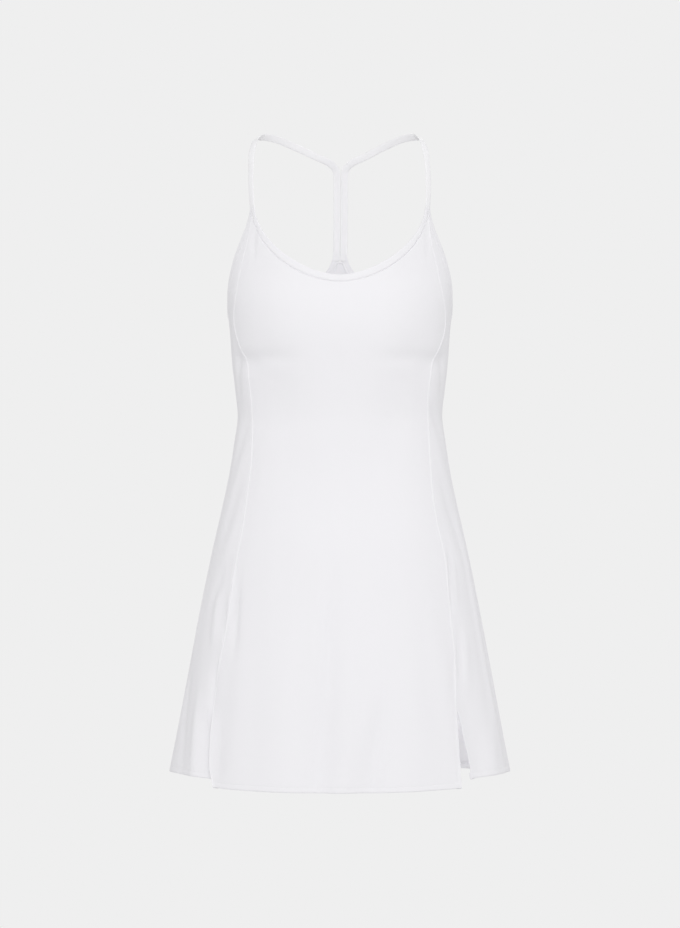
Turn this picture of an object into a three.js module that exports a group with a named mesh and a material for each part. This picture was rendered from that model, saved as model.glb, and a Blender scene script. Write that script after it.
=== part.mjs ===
// A sleeveless tennis dress, hollow as it hangs on a wearer, in millimetres with +Z up.
// The front is at -Y, and "left" is the -X side, as seen in a front view.
// The origin is midway between the two straps, at the underside of each on top of the shoulder.
import * as THREE from "three";

// Thicknesses and trim
const clothWall = 1.5;
const bindingWall = 2.2;
const bindingWidth = 8.5;
const strapWall = 2;
const strapWidth = 9;
const strapCrown = 0.3;
const seamGap = 0.3;
const bindingGap = 0.45;
const cornerGap = 1.2;

// Heights at the middle or the corners of the pieces
const strapEnd = -92;
const frontCorner = -106;
const backStrapEnd = -142;
const backCorner = -150;
const underArms = -250;
const slitTop = -705;
const hem = { frontMiddle: -806, frontEdge: -803, sideEdge: -793, side: -790, backSeam: -797, backMiddle: -806 };

// Half width, depth to the front and back, and squareness of the section at each height
const figure = [
  { z: -60, half: 115, front: 106, back: 80, square: 2.6 },
  { z: -100, half: 123, front: 100, back: 89, square: 2.6 },
  { z: -140, half: 136.5, front: 93, back: 95, square: 2.6 },
  { z: -175, half: 142, front: 91, back: 98, square: 2.55 },
  { z: -209, half: 140.8, front: 95, back: 98.5, square: 2.5 },
  { z: -245, half: 137.3, front: 97, back: 96, square: 2.4 },
  { z: -285, half: 134.3, front: 96, back: 89, square: 2.3 },
  { z: -320, half: 130.3, front: 96, back: 82, square: 2.25 },
  { z: -350, half: 127.8, front: 97, back: 79, square: 2.2 },
  { z: -375, half: 131, front: 99.5, back: 83, square: 2.2 },
  { z: -415, half: 137.3, front: 104, back: 93, square: 2.2 },
  { z: -453, half: 145, front: 110, back: 105, square: 2.2 },
  { z: -528, half: 162, front: 122.5, back: 122, square: 2.15 },
  { z: -603, half: 177, front: 133, back: 131, square: 2.1 },
  { z: -678, half: 191, front: 143, back: 139, square: 2.1 },
  { z: -753, half: 205.5, front: 152, back: 147, square: 2.1 },
  { z: -806, half: 216, front: 158, back: 152, square: 2.1 },
];

// Fullness of the bust, added towards the front
const bust = { out: 14, z: -240, half: 105, above: 75, belowMiddle: 120, belowSide: 42 };

// Half width of the front panel, from the middle to the seam on each side
const frontSeam = [
  { z: -92, left: 108.4, right: 108.4 },
  { z: -106, left: 109.8, right: 109.6 },
  { z: -130, left: 114, right: 112.5 },
  { z: -160, left: 121.8, right: 119.6 },
  { z: -186, left: 127.2, right: 124.6 },
  { z: -207, left: 130.6, right: 129.2 },
  { z: -226, left: 131.9, right: 131 },
  { z: -245, left: 129.5, right: 129.5 },
  { z: -267, left: 123.5, right: 122.9 },
  { z: -288, left: 116.6, right: 115.6 },
  { z: -316, left: 111.7, right: 110.2 },
  { z: -347, left: 109.4, right: 109.3 },
  { z: -378, left: 108.9, right: 110.7 },
  { z: -415, left: 111.2, right: 112.4 },
  { z: -452, left: 115.6, right: 115.4 },
  { z: -489, left: 120.7, right: 122 },
  { z: -526, left: 128, right: 130.3 },
  { z: -563, left: 133.3, right: 133.5 },
  { z: -600, left: 138.6, right: 137.3 },
  { z: -636, left: 145.7, right: 142 },
  { z: -672, left: 152.8, right: 143.5 },
  { z: -705, left: 157.5, right: 143 },
];

// Below the slits' tops the two edges part: half widths of the front panel and the side panels
const slitEdges = [
  { z: -705, frontLeft: 157.5, sideLeft: 157.5, frontRight: 143, sideRight: 143 },
  { z: -725, frontLeft: 158.6, sideLeft: 158.8, frontRight: 144, sideRight: 146.8 },
  { z: -750, frontLeft: 160.2, sideLeft: 157, frontRight: 145.4, sideRight: 152.5 },
  { z: -782, frontLeft: 161.2, sideLeft: 156, frontRight: 147.2, sideRight: 160.8 },
  { z: -806, frontLeft: 156.5, sideLeft: 156, frontRight: 148.8, sideRight: 165.5 },
];

// The left slit is closed: the front panel laps over the side panel, which is tucked in
const lap = { proud: 2.5, tuck: 4, reach: 14, grownBy: 0.35 };

// Turn of the seam between a side panel and the back, from the middle of the front
const backSeamTurn = 128;

// The neckline's finished edge and its seam, as half width at the strap, drop and roundness
const neckline = {
  edge: { half: 105.7, drop: 84.2, round: 1.72 },
  seam: { half: 109, drop: 92.5, round: 1.85 },
};

// The armhole's finished edge, from the front strap round under the arm to the back strap
const armhole = [
  { turn: 64, z: -92 },
  { turn: 63.9, z: -99 },
  { turn: 65.3, z: -116 },
  { turn: 68.1, z: -134 },
  { turn: 71.8, z: -153 },
  { turn: 75.3, z: -172 },
  { turn: 78.9, z: -190 },
  { turn: 84.0, z: -209 },
  { turn: 92.0, z: -218.5 },
  { turn: 102, z: -221 },
  { turn: 114, z: -219 },
  { turn: 130, z: -208 },
  { turn: 145, z: -194 },
  { turn: 157, z: -181 },
  { turn: 165, z: -170 },
  { turn: 169.9, z: -162 },
  { turn: 173.2, z: -152 },
  { turn: 174.7, z: -142 },
];

// Soft folds of the skirt that start at one height, follow a turn and deepen to another height
const folds = [
  { fromTurn: -1, toTurn: -9.6, fromZ: -580, toZ: -806, spread: 6.5, depth: -4 },
  { fromTurn: 20, toTurn: 10, fromZ: -680, toZ: -806, spread: 6, depth: -4 },
  { fromTurn: 8, toTurn: 0.5, fromZ: -640, toZ: -806, spread: 5, depth: 2.5 },
  { fromTurn: -30, toTurn: -27, fromZ: -520, toZ: -806, spread: 9, depth: 3 },
  { fromTurn: 33, toTurn: 29, fromZ: -560, toZ: -806, spread: 8, depth: 3 },
  { fromTurn: -55, toTurn: -55, fromZ: -540, toZ: -800, spread: 4.5, depth: -5 },
  { fromTurn: -66, toTurn: -64, fromZ: -600, toZ: -800, spread: 5, depth: 3 },
  { fromTurn: 56, toTurn: 60, fromZ: -520, toZ: -790, spread: 5, depth: -4.5 },
  { fromTurn: 66, toTurn: 70, fromZ: -560, toZ: -790, spread: 5, depth: 2.5 },
  { fromTurn: 116, toTurn: 112, fromZ: -500, toZ: -797, spread: 8, depth: -6 },
  { fromTurn: -118, toTurn: -115, fromZ: -540, toZ: -797, spread: 8, depth: -5 },
  { fromTurn: 141, toTurn: 140, fromZ: -480, toZ: -800, spread: 8, depth: 4 },
  { fromTurn: -143, toTurn: -139, fromZ: -520, toZ: -800, spread: 8, depth: 5 },
  { fromTurn: 160, toTurn: 158, fromZ: -520, toZ: -806, spread: 7, depth: -6 },
  { fromTurn: -163, toTurn: -160, fromZ: -560, toZ: -806, spread: 8, depth: -5 },
  { fromTurn: 180, toTurn: 179, fromZ: -480, toZ: -806, spread: 8, depth: 4 },
];

// Middle line of a strap from its front end to its back end, with the way that its face looks
const strapRoute = [
  { left: 108.2, right: 108.2, y: -58.6, z: -91.1, outward: 0.8, back: -0.58, up: 0.12 },
  { left: 109.6, right: 109.3, y: -54.5, z: -70, outward: 0.74, back: -0.65, up: 0.15 },
  { left: 110, right: 108.5, y: -46, z: -42, outward: 0.7, back: -0.6, up: 0.4 },
  { left: 109, right: 106, y: -31, z: -19, outward: 0.5, back: -0.5, up: 0.7 },
  { left: 104.5, right: 101, y: -13, z: -4.5, outward: 0.25, back: -0.2, up: 0.95 },
  { left: 95, right: 92, y: 6, z: 1, outward: 0.05, back: 0.1, up: 1 },
  { left: 80, right: 77, y: 26, z: -0.5, outward: -0.05, back: 0.35, up: 0.93 },
  { left: 53, right: 52, y: 50, z: -9, outward: -0.05, back: 0.62, up: 0.78 },
  { left: 30, right: 32, y: 64, z: -16.5, outward: -0.03, back: 0.8, up: 0.6 },
  { left: 13, right: 15, y: 72, z: -25, outward: 0, back: 0.93, up: 0.37 },
  { left: 5.2, right: 7.2, y: 77, z: -37, outward: 0, back: 0.98, up: 0.2 },
  { left: 3.9, right: 5.9, y: 80, z: -50, outward: 0, back: 0.98, up: 0.2 },
  { left: 3.8, right: 5.7, y: 86.5, z: -85, outward: 0, back: 0.98, up: 0.18 },
  { left: 4.1, right: 5.3, y: 91.5, z: -118, outward: 0, back: 0.99, up: 0.12 },
  { left: 4.4, right: 4.9, y: 94.2, z: -141.7, outward: 0, back: 0.99, up: 0.1 },
];

// Counts of faces along and across the pieces
const rows = { underArms: 7, toSlit: 17, pastSlit: 5 };
const columns = { front: 26, side: 16, back: 22, strap: 46 };
const crowding = { front: 1.4, side: 1.8, back: 1.4 };

const degree = Math.PI / 180;
const mix = THREE.MathUtils.lerp;
const smooth = THREE.MathUtils.smoothstep;

// Reads a column of a table at a height, on a smooth curve through its rows
function tableAt(table, column, z) {
  const last = table.length - 1;
  const clamped = Math.min(table[0].z, Math.max(table[last].z, z));
  let i = 0;
  while (i < last - 1 && table[i + 1].z > clamped) i++;
  const slope = (k) => {
    const a = table[Math.max(0, k - 1)];
    const b = table[Math.min(last, k + 1)];
    return (b[column] - a[column]) / (b.z - a.z);
  };
  const [p, q] = [table[i], table[i + 1]];
  const span = q.z - p.z;
  const t = (clamped - p.z) / span;
  const s = 1 - t;
  return p[column] * s * s * (1 + 2 * t) + q[column] * t * t * (3 - 2 * t)
    + span * t * s * (slope(i) * s - slope(i + 1) * t);
}

// Distance from the axis to the cloth, before the bust and the folds
function sectionRadius(turn, z) {
  const across = Math.abs(Math.sin(turn * degree));
  const along = Math.cos(turn * degree);
  const square = tableAt(figure, "square", z);
  const depth = tableAt(figure, along > 0 ? "front" : "back", z);
  const sum = (across / tableAt(figure, "half", z)) ** square + (Math.abs(along) / depth) ** square;
  return sum ** (-1 / square);
}

function bustFullness(turn, x, z) {
  const facing = smooth(Math.cos(turn * degree), 0, 0.35);
  if (facing === 0) return 0;
  const below = mix(bust.belowMiddle, bust.belowSide, smooth(Math.abs(x), 20, 100));
  const fall = Math.exp(-(((z - bust.z) / (z > bust.z ? bust.above : below)) ** 2));
  return facing * fall * bust.out * Math.exp(-((x / bust.half) ** 4));
}

// Turns run from -180 to 180, so a fold at the middle of the back is met from both ways
function turnBetween(a, b) {
  return ((a - b + 540) % 360) - 180;
}

function foldDepth(turn, z) {
  let depth = 0;
  for (const fold of folds) {
    const grown = smooth(-z, -fold.fromZ, -fold.toZ + 60);
    const middle = mix(fold.fromTurn, fold.toTurn, (z - fold.fromZ) / (fold.toZ - fold.fromZ));
    depth += fold.depth * grown * Math.exp(-((turnBetween(turn, middle) / fold.spread) ** 2));
  }
  return depth;
}

// A point on the outside of the cloth
function skin(turn, z) {
  const radius = sectionRadius(turn, z) + foldDepth(turn, z);
  const x = radius * Math.sin(turn * degree);
  const y = -radius * Math.cos(turn * degree) - bustFullness(turn, x, z);
  return new THREE.Vector3(x, y, z);
}

function skinNormal(turn, z) {
  const around = skin(turn + 0.5, z).sub(skin(turn - 0.5, z));
  const down = skin(turn, z - 1).sub(skin(turn, z + 1));
  return down.cross(around).normalize();
}

// A point at a distance outside the cloth's outer face, or inside it when negative
function offSkin(turn, z, outward) {
  return skinNormal(turn, z).multiplyScalar(outward).add(skin(turn, z));
}

// The turn, on the front half, at which the section has a given half width
function turnAtHalfWidth(half, z) {
  let [low, high] = [0, 90];
  for (let step = 0; step < 40; step++) {
    const middle = (low + high) / 2;
    if (sectionRadius(middle, z) * Math.sin(middle * degree) < half) low = middle;
    else high = middle;
  }
  return (low + high) / 2;
}

function gapTurn(turn, z, gap) {
  return gap / sectionRadius(turn, z) / degree;
}

// Turn of the front panel's or a side panel's edge at their seam, side being -1 or 1
function frontSeamTurn(side, panel, z) {
  const name = side < 0 ? "left" : "right";
  const edge = panel + (side < 0 ? "Left" : "Right");
  const half = z > slitTop ? tableAt(frontSeam, name, z) : tableAt(slitEdges, edge, z);
  const turn = turnAtHalfWidth(half, z);
  const away = gapTurn(turn, z, seamGap / 2);
  return panel === "side" ? turn + away : turn - away;
}

// How far the cloth beside the closed slit lies outside or inside the plain form
function lapLift(panel, side, turn, z) {
  if (side > 0 || z > slitTop) return 0;
  const fromEdge = Math.abs(Math.abs(turn) - frontSeamTurn(side, panel, z)) * degree * sectionRadius(turn, z);
  const height = panel === "front" ? lap.proud : -lap.tuck;
  const down = (slitTop - z) / (slitTop - hem.frontEdge);
  return height * smooth(down, 0, lap.grownBy) * Math.exp(-((fromEdge / lap.reach) ** 2));
}

// Half width of the neckline's edge or seam at an angle from the strap (0) to the middle (90)
function necklineAt(line, angle) {
  const { half, drop, round } = neckline[line];
  return {
    half: half * Math.cos(angle * degree) ** (2 / round),
    z: strapEnd - drop * Math.sin(angle * degree) ** (2 / round),
  };
}

const armholeEdge = new THREE.SplineCurve(armhole.map((row) => new THREE.Vector2(row.turn, row.z)));

// The armhole's seam: its finished edge moved over the cloth by the width of the binding
function armholeSeam(share) {
  const at = (s) => armholeEdge.getPoint(THREE.MathUtils.clamp(s, 0, 1));
  const { x: turn, y: z } = at(share);
  const [before, after] = [at(share - 0.004), at(share + 0.004)];
  const along = skin(after.x, after.y).sub(skin(before.x, before.y)).normalize();
  const inward = along.cross(skinNormal(turn, z)).normalize();
  const point = skin(turn, z).addScaledVector(inward, bindingWidth);
  return { turn: Math.atan2(point.x, -point.y) / degree, z: point.z };
}

// The first share of a rising function that reaches zero, by halving
function solve(rising, low = 0, high = 1) {
  for (let step = 0; step < 40; step++) {
    const middle = (low + high) / 2;
    if (rising(middle) < 0) low = middle;
    else high = middle;
  }
  return (low + high) / 2;
}

// A closed wall over a grid: place(column, row, face) gives its outer (1) and inner (0) points
function wall(columnCount, rowCount, place) {
  const position = [];
  const index = [];
  const across = columnCount + 1;
  const face = across * (rowCount + 1);
  for (const side of [1, 0]) {
    for (let row = 0; row <= rowCount; row++) {
      for (let column = 0; column <= columnCount; column++) position.push(...place(column, row, side));
    }
  }
  const quad = (a, b, c, d) => index.push(a, b, c, a, c, d);
  const at = (column, row) => row * across + column;
  const point = (i) => new THREE.Vector3().fromArray(position, 3 * i);
  // Each cell of the grid is split along its shorter diagonal, the same on both faces
  for (let row = 0; row < rowCount; row++) {
    for (let column = 0; column < columnCount; column++) {
      const [a, b] = [at(column, row), at(column, row + 1)];
      const [c, d] = [b + 1, a + 1];
      const falling = point(a).distanceTo(point(c)) < point(b).distanceTo(point(d));
      const [p, q, r, s] = falling ? [a, b, c, d] : [b, c, d, a];
      quad(p, q, r, s);
      quad(p + face, s + face, r + face, q + face);
    }
  }
  // The rims that face each other across a seam are split by the same diagonal
  for (let column = 0; column < columnCount; column++) {
    const [top, foot] = [at(column, 0), at(column, rowCount)];
    quad(top, top + 1, top + 1 + face, top + face);
    quad(foot, foot + face, foot + 1 + face, foot + 1);
  }
  for (let row = 0; row < rowCount; row++) {
    const [first, last] = [at(0, row), at(columnCount, row)];
    quad(last, last + across, last + across + face, last + face);
    quad(first, first + face, first + across + face, first + across);
  }
  const geometry = new THREE.BufferGeometry();
  geometry.setAttribute("position", new THREE.Float32BufferAttribute(position, 3));
  geometry.setIndex(index);
  geometry.computeVertexNormals();
  return geometry;
}

// A panel of cloth between two edges, with each column's top and hem height
function clothPanel({ columnCount, turnAt, topAt, hemAt, liftAt = () => 0 }) {
  const rowCount = rows.underArms + rows.toSlit + rows.pastSlit;
  const tops = Array.from({ length: columnCount + 1 }, (_, column) => topAt(column));
  return wall(columnCount, rowCount, (column, row, face) => {
    const below = row - rows.underArms;
    const past = below - rows.toSlit;
    let z = mix(tops[column], underArms, row / rows.underArms);
    if (below > 0) z = mix(underArms, slitTop, below / rows.toSlit);
    if (past > 0) z = mix(slitTop, hemAt(column), past / rows.pastSlit);
    const turn = turnAt(column, z);
    return offSkin(turn, z, liftAt(turn, z) - (face ? 0 : clothWall));
  });
}

// Share across the front panel, from -1 to 1, with its columns closer at the seams
function frontShare(column) {
  const even = (2 * column) / columns.front - 1;
  return Math.sign(even) * (1 - (1 - Math.abs(even)) ** crowding.front);
}

function frontTurn(column, z) {
  const share = frontShare(column);
  return share * frontSeamTurn(Math.sign(share) || 1, "front", z);
}

// Angle along the neckline at which a column of the front panel meets its seam
function neckAngle(column) {
  return 90 * solve((share) => {
    const { half, z } = necklineAt("seam", share * 90);
    return Math.abs(skin(frontTurn(column, z), z).x) - half;
  });
}

function frontTop(column) {
  if (column === 0 || column === columns.front) return frontCorner;
  return Math.min(frontCorner, necklineAt("seam", neckAngle(column)).z);
}

function frontPanel() {
  return clothPanel({
    columnCount: columns.front,
    turnAt: frontTurn,
    topAt: frontTop,
    hemAt: (column) => mix(hem.frontMiddle, hem.frontEdge, frontShare(column) ** 2),
    liftAt: (turn, z) => lapLift("front", Math.sign(turn) || 1, turn, z),
  });
}

// Turn of a side panel's column, crowded towards the front seam, side being -1 or 1
function sideTurn(side, column, z) {
  const share = (column / columns.side) ** crowding.side;
  const front = frontSeamTurn(side, "side", z);
  const back = backSeamTurn - gapTurn(backSeamTurn, z, seamGap / 2);
  return mix(front, back, share);
}

// Turn of a back panel's column, counted from 0 at its middle to half the columns at a seam
function backTurn(column, z) {
  const share = (Math.abs(column) / (columns.back / 2)) ** crowding.back;
  const back = backSeamTurn + gapTurn(backSeamTurn, z, seamGap / 2);
  return mix(180, back, share);
}

// Share along the armhole at which a column meets its seam
function armholeShare(turnAt) {
  return solve((share) => {
    const { turn, z } = armholeSeam(share);
    return turn - turnAt(z);
  });
}

function sideTop(side, column) {
  if (column === 0) return frontCorner;
  return Math.min(frontCorner, armholeSeam(armholeShare((z) => sideTurn(side, column, z))).z);
}

function sidePanel(side) {
  const order = (column) => (side > 0 ? column : columns.side - column);
  const hemAt = (share) => share < 0.5
    ? mix(hem.sideEdge, hem.side, smooth(share, 0, 0.5))
    : mix(hem.side, hem.backSeam, smooth(share, 0.5, 1));
  return clothPanel({
    columnCount: columns.side,
    turnAt: (column, z) => side * sideTurn(side, order(column), z),
    topAt: (column) => sideTop(side, order(column)),
    hemAt: (column) => hemAt(order(column) / columns.side),
    liftAt: (turn, z) => lapLift("side", side, turn, z),
  });
}

function backTop(column) {
  if (column === 0) return backCorner;
  return Math.min(backCorner, armholeSeam(armholeShare((z) => backTurn(column, z))).z);
}

function backPanel() {
  const half = columns.back / 2;
  const turnAt = (column, z) => column < half ? backTurn(column - half, z) : 360 - backTurn(column - half, z);
  return clothPanel({
    columnCount: columns.back,
    turnAt,
    topAt: (column) => backTop(Math.abs(column - half)),
    hemAt: (column) => mix(hem.backMiddle, hem.backSeam, ((column - half) / half) ** 2),
  });
}

// A binding between its finished edge and the seam; each station has both, as turn and height
function binding(stations) {
  const proud = (bindingWall - clothWall) / 2;
  return wall(stations.length - 1, 1, (column, row, face) => {
    const { turn, z } = row ? stations[column].seam : stations[column].edge;
    return offSkin(turn, z, face ? proud : proud - bindingWall);
  });
}

// Moves a seam point towards the finished edge by the gap between binding and panel
function offSeam(seam, edge) {
  const reach = skin(edge.turn, edge.z).distanceTo(skin(seam.turn, seam.z));
  const share = bindingGap / reach;
  return { turn: mix(seam.turn, edge.turn, share), z: mix(seam.z, edge.z, share) };
}

// Half of the neck binding, from the strap to the middle of the front
function neckStations(side) {
  const edgeAt = (angle) => {
    const { half, z } = necklineAt("edge", angle);
    return { turn: side * turnAtHalfWidth(half, z), z };
  };
  const seamTurn = (z) => side * frontSeamTurn(side, "front", z);
  const end = strapEnd - seamGap / 2;
  const corner = frontCorner + cornerGap;
  const half = columns.front / 2;
  const middle = [];
  for (let step = 1; step <= half; step++) {
    const column = side < 0 ? step : columns.front - step;
    const z = frontTop(column);
    const edge = edgeAt(neckAngle(column));
    middle.push({ edge, seam: offSeam({ turn: frontTurn(column, z), z }, edge) });
  }
  const firstAngle = neckAngle(side < 0 ? 1 : columns.front - 1);
  return [
    { edge: { ...edgeAt(0), z: end }, seam: { turn: seamTurn(end), z: end } },
    { edge: edgeAt(firstAngle / 2), seam: { turn: seamTurn(corner), z: corner } },
    ...middle,
  ];
}

function neckBinding() {
  const left = neckStations(-1);
  const right = neckStations(1).slice(0, -1).reverse();
  return binding([...left, ...right]);
}

function armholeBinding(side) {
  const edgeAt = (share) => {
    const { x: turn, y: z } = armholeEdge.getPoint(share);
    return { turn, z };
  };
  const stationAt = (turnAt, top) => {
    const edge = edgeAt(armholeShare(turnAt));
    return { edge, seam: offSeam({ turn: turnAt(top), z: top }, edge) };
  };
  const middle = [];
  for (let column = 1; column <= columns.side; column++) {
    middle.push(stationAt((z) => sideTurn(side, column, z), sideTop(side, column)));
  }
  for (let column = columns.back / 2 - 1; column > 0; column--) {
    middle.push(stationAt((z) => backTurn(column, z), backTop(column)));
  }
  const firstShare = armholeShare((z) => sideTurn(side, 1, z));
  const lastShare = armholeShare((z) => backTurn(1, z));
  const frontEnd = strapEnd - seamGap / 2;
  const backEnd = backStrapEnd - seamGap / 2;
  const [corner, backSeam] = [frontCorner + cornerGap, backCorner + cornerGap];
  const middleOfBack = (z) => 180 - gapTurn(180, z, seamGap / 2);
  const stations = [
    { edge: { ...edgeAt(0), z: frontEnd }, seam: { turn: frontSeamTurn(side, "side", frontEnd), z: frontEnd } },
    { edge: edgeAt(firstShare / 2), seam: { turn: frontSeamTurn(side, "side", corner), z: corner } },
    ...middle,
    { edge: edgeAt((lastShare + 1) / 2), seam: { turn: middleOfBack(backSeam), z: backSeam } },
    { edge: { ...edgeAt(1), z: backEnd }, seam: { turn: middleOfBack(backEnd), z: backEnd } },
  ];
  const turned = stations.map(({ edge, seam }) => ({
    edge: { ...edge, turn: side * edge.turn },
    seam: { ...seam, turn: side * seam.turn },
  }));
  return binding(side > 0 ? turned : turned.reverse());
}

function strap(side) {
  const name = side < 0 ? "left" : "right";
  const route = new THREE.CatmullRomCurve3(
    strapRoute.map((row) => new THREE.Vector3(side * row[name], row.y, row.z)), false, "centripetal");
  const facing = strapRoute.map((row) => new THREE.Vector3(side * row.outward, row.back, row.up));
  return wall(columns.strap, 2, (column, row, face) => {
    const along = route.getUtoTmapping(column / columns.strap);
    const place = along * (facing.length - 1);
    const first = Math.min(Math.floor(place), facing.length - 2);
    const wanted = facing[first].clone().lerp(facing[first + 1], smooth(place - first, 0, 1));
    const forward = route.getTangent(along);
    const sideways = forward.clone().cross(wanted).normalize();
    const outward = sideways.clone().cross(forward).normalize();
    const crown = row === 1 ? strapCrown : 0;
    const half = strapWall / 2 + crown;
    return route.getPoint(along)
      .addScaledVector(sideways, (row - 1) * (strapWidth / 2))
      .addScaledVector(outward, face ? half : -half);
  });
}

const jersey = new THREE.MeshStandardMaterial({ color: "#f3f3f4", roughness: 0.75, metalness: 0 });
const elastic = new THREE.MeshStandardMaterial({ color: "#efeff0", roughness: 0.6, metalness: 0 });

const dress = new THREE.Group();

function sew(name, geometry, material) {
  const piece = new THREE.Mesh(geometry, material);
  piece.name = name;
  dress.add(piece);
}

sew("front_panel", frontPanel(), jersey);
sew("back_panel", backPanel(), jersey);
sew("neck_binding", neckBinding(), jersey);
for (const [name, side] of [["left", -1], ["right", 1]]) {
  sew(`side_panel_${name}`, sidePanel(side), jersey);
  sew(`armhole_binding_${name}`, armholeBinding(side), jersey);
  sew(`strap_${name}`, strap(side), elastic);
}

export default dress;
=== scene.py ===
# A white sleeveless tennis dress, worn and hollow, sewn from its cut pieces.
# The form is worked out in millimetres, front at -Y and "left" at -X, and placed in metres.
import math

import bmesh
import bpy
import numpy as np
from mathutils import Matrix, Vector


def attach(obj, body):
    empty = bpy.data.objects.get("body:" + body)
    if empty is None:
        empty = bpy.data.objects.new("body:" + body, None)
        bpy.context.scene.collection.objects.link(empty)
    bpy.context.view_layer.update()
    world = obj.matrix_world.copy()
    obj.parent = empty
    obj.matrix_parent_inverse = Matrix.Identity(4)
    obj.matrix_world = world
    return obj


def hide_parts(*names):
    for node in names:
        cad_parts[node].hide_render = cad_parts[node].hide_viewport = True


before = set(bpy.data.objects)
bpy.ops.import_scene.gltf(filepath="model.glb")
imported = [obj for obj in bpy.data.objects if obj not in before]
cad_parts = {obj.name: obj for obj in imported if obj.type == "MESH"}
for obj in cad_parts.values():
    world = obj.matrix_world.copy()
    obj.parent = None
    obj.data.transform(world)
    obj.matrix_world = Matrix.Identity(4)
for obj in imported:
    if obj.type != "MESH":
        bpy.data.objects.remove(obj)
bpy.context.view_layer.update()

mm = 0.001
degree = math.pi / 180

# The worn form

strapEnd = -92
frontCorner = -106
backStrapEnd = -142
backCorner = -150
underArms = -250
slitTop = -705
bindingWidth = 8.5
hem = {
    "frontMiddle": -806, "frontEdge": -803, "sideEdge": -793, "side": -790,
    "backSeam": -797, "backMiddle": -806, "sideBend": 1.8, "backBend": 1.43,
}

# Height, half width, depth to the front, depth to the back, squareness of the section
figure = np.array([
    (-60, 115, 106, 80, 2.6),
    (-100, 123, 100, 89, 2.6),
    (-140, 136.5, 93, 95, 2.6),
    (-175, 142, 91, 98, 2.55),
    (-209, 140.8, 95, 98.5, 2.5),
    (-245, 137.3, 97, 96, 2.4),
    (-285, 134.3, 96, 89, 2.3),
    (-320, 130.3, 96, 82, 2.25),
    (-350, 127.8, 97, 79, 2.2),
    (-375, 131, 99.5, 83, 2.2),
    (-415, 137.3, 104, 93, 2.2),
    (-453, 145, 110, 105, 2.2),
    (-528, 162, 122.5, 122, 2.15),
    (-603, 177, 133, 131, 2.1),
    (-678, 191, 143, 139, 2.1),
    (-753, 205.5, 152, 147, 2.1),
    (-806, 216, 158, 152, 2.1),
])
bust = {
    "out": 14, "z": -240, "half": 105, "above": 75, "belowMiddle": 120, "belowSide": 42,
    "innerHalf": 20, "outerHalf": 100, "facing": 0.35,
}

# Height, half width of the front panel at its left and right seam
frontSeam = np.array([
    (-92, 108.4, 108.4), (-106, 109.8, 109.6), (-130, 114, 112.5), (-160, 121.8, 119.6),
    (-186, 127.2, 124.6), (-207, 130.6, 129.2), (-226, 131.9, 131), (-245, 129.5, 129.5),
    (-267, 123.5, 122.9), (-288, 116.6, 115.6), (-316, 111.7, 110.2), (-347, 109.4, 109.3),
    (-378, 108.9, 110.7), (-415, 111.2, 112.4), (-452, 115.6, 115.4), (-489, 120.7, 122),
    (-526, 128, 130.3), (-563, 133.3, 133.5), (-600, 138.6, 137.3), (-636, 145.7, 142),
    (-672, 152.8, 143.5), (-705, 157.5, 143),
])

# Height, half widths of the slits' edges: left front, left side, right front, right side
slitEdges = np.array([
    (-705, 157.5, 157.5, 143, 143),
    (-725, 158.6, 158.8, 144, 149.2),
    (-750, 160.2, 157, 145.4, 155.3),
    (-782, 161.2, 156, 147.2, 162.8),
    (-806, 156.5, 156, 148.8, 165.5),
])
lap = {"proud": 2.5, "tuck": 4, "reach": 14, "grownBy": 0.35}
backSeamTurn = 128

# The neckline's finished edge and its seam: half width at the strap, drop, roundness
neckline = {"edge": (105.7, 84.2, 1.72), "seam": (109, 92.5, 1.85)}

# The armhole's finished edge as turn and height, from the front strap to the back strap
armhole = np.array([
    (64, -92), (63.9, -99), (65.3, -116), (68.1, -134), (71.8, -153), (75.3, -172),
    (78.9, -190), (84, -209), (92, -218.5), (102, -221), (114, -219), (130, -208),
    (145, -194), (157, -181), (165, -170), (169.9, -162), (173.2, -152), (174.7, -142),
])

# Soft folds of the skirt: turn and height where each starts, turn and height where it ends, spread, depth
folds = [
    (-1, -580, -9.6, -806, 6.5, -4), (20, -680, 10, -806, 6, -4), (8, -640, 0.5, -806, 5, 2.5),
    (-30, -520, -27, -806, 9, 3), (33, -560, 29, -806, 8, 3), (-55, -540, -55, -800, 4.5, -5),
    (-66, -600, -64, -800, 5, 3), (56, -520, 60, -790, 5, -4.5), (66, -560, 70, -790, 5, 2.5),
    (116, -500, 112, -797, 8, -6), (-118, -540, -115, -797, 8, -5), (141, -480, 140, -800, 8, 4),
    (-143, -520, -139, -800, 8, 5), (160, -520, 158, -806, 7, -6), (-163, -560, -160, -806, 8, -5),
    (180, -480, 179, -806, 8, 4),
]
foldRunOn = 60  # a fold would only be full this far below its end

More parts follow.
